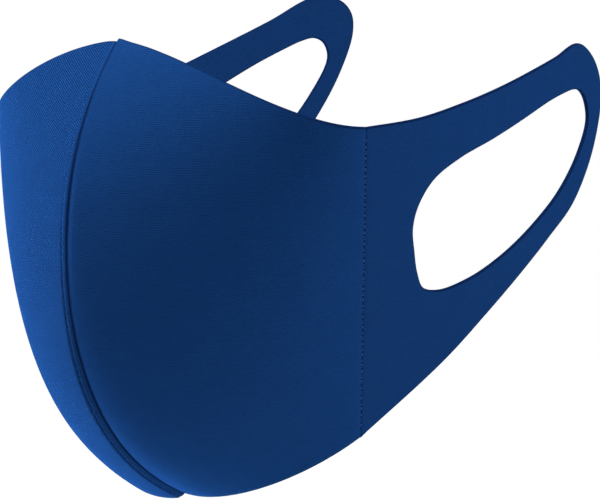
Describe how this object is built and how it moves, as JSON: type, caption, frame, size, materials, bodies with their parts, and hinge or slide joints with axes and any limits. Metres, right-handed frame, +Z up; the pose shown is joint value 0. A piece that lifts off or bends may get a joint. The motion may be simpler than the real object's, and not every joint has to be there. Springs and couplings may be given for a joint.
{
  "type": "sports face mask",
  "caption": "Stretch-knit sports face mask: two cup panels sewn at a centre seam, with a cut-out ear loop at each side.",
  "frame": {"origin": "inner face of the cloth at the bridge of the nose, at the top end of the centre seam", "axes": "+Z up, the wearer looks along -Y, +X is the wearer's left; +Y points from the mask into the wearer's face"},
  "size_m": [0.1567, 0.1554, 0.1457],
  "materials": {
    "cup_knit": "warp-knit polyester and elastane with fine diagonal ribs and a faint sheen",
    "loop_knit": "smooth warp-knit polyester and elastane, raw laser-cut edges",
    "seam_knit": "folded and stitched seam allowance of the same knit, darker in the fold"
  },
  "bodies": {
    "root": {"cup_panel_left": "cup_knit", "cup_panel_right": "cup_knit", "ear_loop_left": "loop_knit", "ear_loop_right": "loop_knit", "centre_seam_fold": "seam_knit"}
  },
  "joints": []
}
